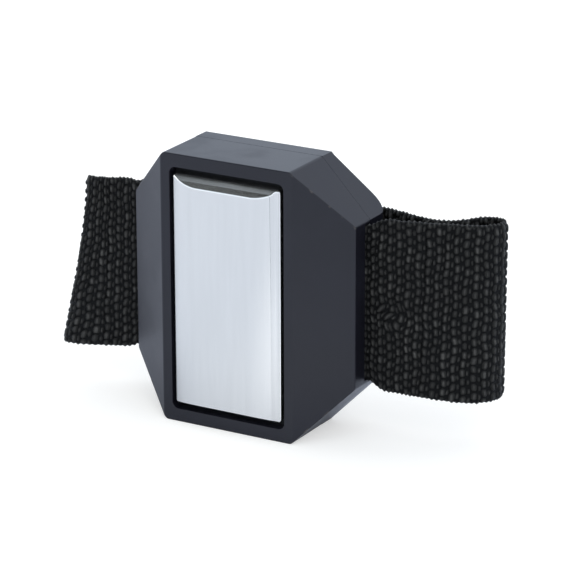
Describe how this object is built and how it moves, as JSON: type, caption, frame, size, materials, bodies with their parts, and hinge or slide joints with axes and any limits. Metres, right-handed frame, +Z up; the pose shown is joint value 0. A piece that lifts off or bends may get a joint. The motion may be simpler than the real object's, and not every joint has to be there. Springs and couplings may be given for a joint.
{
  "type": "magnetic wristband",
  "caption": "Wrist-worn magnetic holder: a bevelled moulded housing with a brushed steel face over magnets, on a woven strap with a hook-and-loop closure.",
  "frame": {"origin": "centre of the housing's flat lower end face, which it stands on", "axes": "+Z up along the housing's length, -Y the way the steel face looks, +X along the strap"},
  "size_m": [0.1073, 0.0311, 0.062],
  "materials": {
    "moulded_black": "satin moulded",
    "brushed_face": "brushed lengthwise",
    "inner_black": "matte moulded",
    "plated_magnet": "nickel plated",
    "zinc_steel": "zinc plated",
    "screw_steel": "zinc plated",
    "foam": "closed cell foam",
    "black_webbing": "coarse woven polypropylene",
    "hook_tape": "moulded hooks",
    "loop_tape": "napped loops"
  },
  "bodies": {
    "housing": {"front_shell": "moulded_black", "rear_cover": "moulded_black", "face_plate": "brushed_face", "magnet_carrier": "inner_black", "magnet_lower": "plated_magnet", "magnet_middle": "plated_magnet", "magnet_upper": "plated_magnet", "yoke_plate": "zinc_steel", "pressure_pad": "foam", "cover_screw_1": "screw_steel", "cover_screw_2": "screw_steel", "cover_screw_3": "screw_steel", "cover_screw_4": "screw_steel", "strap_core": "black_webbing"},
    "right_loop": {"strap_right_loop": "black_webbing"},
    "right_tail": {"strap_right_tail": "black_webbing"},
    "peel_tab": {"strap_peel_tab": "black_webbing", "hook_patch": "hook_tape"},
    "left_loop": {"strap_left_loop": "black_webbing"},
    "left_tail": {"strap_left_tail": "black_webbing", "loop_patch": "loop_tape"}
  },
  "joints": [
    {"name": "right_loop_swing", "type": "hinge", "parent": "housing", "child": "right_loop", "pos_m": [0.02855, 0.00445, 0.031], "axis": [0, 0, 1], "range_deg": [0, 30]},
    {"name": "right_fold_open", "type": "hinge", "parent": "right_loop", "child": "right_tail", "pos_m": [0.04786, 0.01791, 0.031], "axis": [0, 0, -1], "range_deg": [0, 100]},
    {"name": "closure_peel", "type": "hinge", "parent": "right_tail", "child": "peel_tab", "pos_m": [-0.00055, 0.02045, 0.031], "axis": [0, 0, -1], "range_deg": [0, 90]},
    {"name": "left_loop_swing", "type": "hinge", "parent": "housing", "child": "left_loop", "pos_m": [-0.02855, 0.00445, 0.031], "axis": [0, 0, -1], "range_deg": [0, 30]},
    {"name": "left_fold_open", "type": "hinge", "parent": "left_loop", "child": "left_tail", "pos_m": [-0.04185, 0.0076, 0.031], "axis": [0, 0, 1], "range_deg": [0, 100]}
  ],
  "couplings": [
    {"joint": "right_loop_swing", "follows": "right_fold_open", "ratio": 0.3},
    {"joint": "left_fold_open", "follows": "right_fold_open", "ratio": 1},
    {"joint": "left_loop_swing", "follows": "right_fold_open", "ratio": 0.3}
  ]
}
